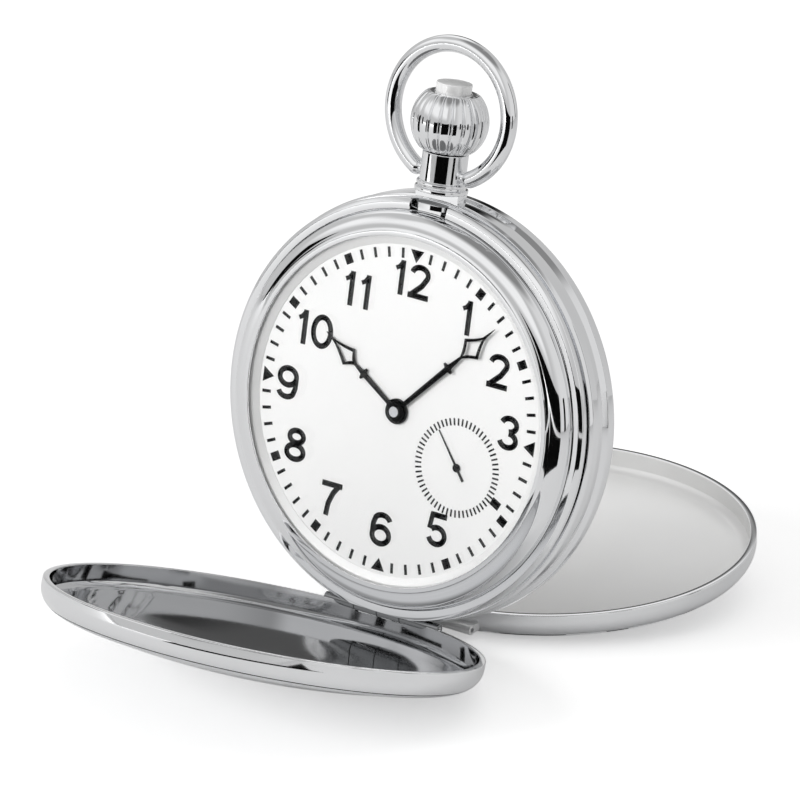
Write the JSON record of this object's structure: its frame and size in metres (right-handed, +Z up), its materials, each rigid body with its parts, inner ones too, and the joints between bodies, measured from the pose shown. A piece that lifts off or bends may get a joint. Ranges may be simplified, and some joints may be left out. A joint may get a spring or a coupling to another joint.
{
  "type": "double-hunter skeleton pocket watch",
  "caption": "Double-hunter pocket watch with a skeletonised movement, standing on its two open covers, with hinged covers, swinging bow, fluted crown and turning hands.",
  "frame": {"origin": "on the floor under the middle of the open watch, centred left to right on the case and front to back on its overall length", "axes": "+X to the 3 o'clock side, -Y the way the dial faces, +Z up"},
  "size_m": [0.052, 0.108, 0.0717],
  "materials": {
    "polished_case": "mirror polish",
    "satin_case": "fine satin",
    "steel": "polished",
    "bridge_metal": "grained nickel",
    "gilt": "gilt, grained",
    "blued": "heat blued",
    "ruby": "polished ruby",
    "dial_white": "smooth white lacquer",
    "print_black": "printed",
    "hand_black": "gloss black",
    "crystal": "clear"
  },
  "bodies": {
    "case": {"case_band": "polished_case", "front_bezel": "polished_case", "crystal": "crystal", "rehaut_ring": "polished_case", "front_hinge_pin": "steel", "rear_hinge_pin": "steel", "back_bezel": "polished_case", "back_crystal": "crystal", "pendant": "polished_case", "lift_spring": "blued", "movement_ring": "bridge_metal", "case_screws": "steel", "dial": "dial_white", "dial_numerals": "print_black", "dial_marks": "print_black", "main_plate": "bridge_metal", "barrel_bridge": "bridge_metal", "train_bridge": "bridge_metal", "pallet_bridge": "bridge_metal", "balance_cock": "bridge_metal", "hairspring": "blued", "regulator": "steel", "plate_jewels": "ruby", "bridge_jewels": "ruby", "bridge_screws": "steel", "dial_screws": "steel", "click_spring": "blued"},
    "front_cover": {"front_cover": "polished_case"},
    "rear_cover": {"rear_cover": "satin_case"},
    "bow": {"bow": "polished_case"},
    "winding": {"winding_pinion": "steel"},
    "stem": {"crown": "polished_case", "winding_stem": "steel"},
    "button": {"push_button": "polished_case", "button_rod": "steel"},
    "catch": {"cover_catch": "steel"},
    "crown_wheel": {"crown_wheel": "steel"},
    "ratchet": {"ratchet_wheel": "steel", "ratchet_screw": "steel", "barrel_arbor": "steel"},
    "click": {"click": "steel"},
    "barrel": {"mainspring_barrel": "gilt", "mainspring": "blued"},
    "centre": {"centre_wheel": "gilt", "cannon_pinion": "steel", "minute_hand": "hand_black"},
    "minute": {"minute_wheel": "gilt"},
    "hour": {"hour_wheel": "gilt", "hour_hand": "hand_black"},
    "third": {"third_wheel": "gilt"},
    "fourth": {"fourth_wheel": "gilt", "seconds_hand": "hand_black"},
    "escape": {"escape_wheel": "steel"},
    "pallet": {"pallet_fork": "steel"},
    "balance": {"balance_wheel": "gilt"}
  },
  "joints": [
    {"name": "front_cover_hinge", "type": "hinge", "parent": "case", "child": "front_cover", "pos_m": [0, -0.00443, 0.00307], "axis": [1, 0, 0], "range_deg": [-82.5, 0]},
    {"name": "rear_cover_hinge", "type": "hinge", "parent": "case", "child": "rear_cover", "pos_m": [0, 0.00253, 0.00125], "axis": [1, 0, 0], "range_deg": [0, 78.58]},
    {"name": "bow_swing", "type": "hinge", "parent": "case", "child": "bow", "pos_m": [0, 0.00116, 0.05558], "axis": [1, 0, 0], "range_deg": [-105, 105]},
    {"name": "crown_spin", "type": "hinge", "parent": "case", "child": "winding", "pos_m": [0, -0.00002, 0.04209], "axis": [0, 0.0872, 0.9962], "continuous": true},
    {"name": "crown_pull", "type": "slide", "parent": "winding", "child": "stem", "axis": [0, 0.0872, 0.9962], "range_m": [0, 0.0012]},
    {"name": "button_press", "type": "slide", "parent": "stem", "child": "button", "axis": [0, -0.0872, -0.9962], "range_m": [0, 0.0008], "stiffness_N_per_m": 50},
    {"name": "catch_slide", "type": "slide", "parent": "case", "child": "catch", "axis": [0, -0.0872, -0.9962], "range_m": [0, 0.0004]},
    {"name": "crown_wheel_spin", "type": "hinge", "parent": "case", "child": "crown_wheel", "pos_m": [0, 0.00043, 0.03915], "axis": [0, -0.9962, 0.0872], "continuous": true},
    {"name": "ratchet_spin", "type": "hinge", "parent": "case", "child": "ratchet", "pos_m": [-0.00587, -0.00002, 0.03402], "axis": [0, -0.9962, 0.0872], "continuous": true},
    {"name": "click_swing", "type": "hinge", "parent": "case", "child": "click", "pos_m": [-0.00805, -0.00054, 0.02806], "axis": [0, -0.9962, 0.0872], "range_deg": [0, 10], "stiffness_Nm_per_rad": 0.00002},
    {"name": "fourth_spin", "type": "hinge", "parent": "case", "child": "fourth", "pos_m": [0.00909, -0.00099, 0.02291], "axis": [0, -0.9962, 0.0872], "continuous": true},
    {"name": "third_spin", "type": "hinge", "parent": "case", "child": "third", "pos_m": [0.0063, -0.0006, 0.02741], "axis": [0, -0.9962, 0.0872], "continuous": true},
    {"name": "centre_spin", "type": "hinge", "parent": "case", "child": "centre", "pos_m": [0, -0.00059, 0.02752], "axis": [0, -0.9962, 0.0872], "continuous": true},
    {"name": "minute_wheel_spin", "type": "hinge", "parent": "case", "child": "minute", "pos_m": [-0.00103, -0.00083, 0.02472], "axis": [0, -0.9962, 0.0872], "continuous": true},
    {"name": "hour_spin", "type": "hinge", "parent": "case", "child": "hour", "pos_m": [0, -0.00059, 0.02752], "axis": [0, -0.9962, 0.0872], "continuous": true},
    {"name": "barrel_spin", "type": "hinge", "parent": "case", "child": "barrel", "pos_m": [-0.00587, -0.00002, 0.03402], "axis": [0, -0.9962, 0.0872], "continuous": true},
    {"name": "escape_spin", "type": "hinge", "parent": "case", "child": "escape", "pos_m": [0.00619, -0.00133, 0.01905], "axis": [0, -0.9962, 0.0872], "continuous": true},
    {"name": "pallet_swing", "type": "hinge", "parent": "case", "child": "pallet", "pos_m": [0.00291, -0.0014, 0.01823], "axis": [0, -0.9962, 0.0872], "range_deg": [-4, 4]},
    {"name": "balance_swing", "type": "hinge", "parent": "case", "child": "balance", "pos_m": [-0.00088, -0.00148, 0.01731], "axis": [0, -0.9962, 0.0872], "range_deg": [-270, 270], "stiffness_Nm_per_rad": 0.000001}
  ],
  "couplings": [
    {"joint": "catch_slide", "follows": "button_press", "ratio": 0.5},
    {"joint": "crown_wheel_spin", "follows": "crown_spin", "ratio": 0.82759},
    {"joint": "ratchet_spin", "follows": "crown_spin", "ratio": -0.57143},
    {"joint": "third_spin", "follows": "fourth_spin", "ratio": -0.13333},
    {"joint": "centre_spin", "follows": "fourth_spin", "ratio": 0.016667},
    {"joint": "minute_wheel_spin", "follows": "fourth_spin", "ratio": -0.0055556},
    {"joint": "hour_spin", "follows": "fourth_spin", "ratio": 0.0013889},
    {"joint": "barrel_spin", "follows": "fourth_spin", "ratio": -0.0025641},
    {"joint": "escape_spin", "follows": "fourth_spin", "ratio": -10}
  ]
}
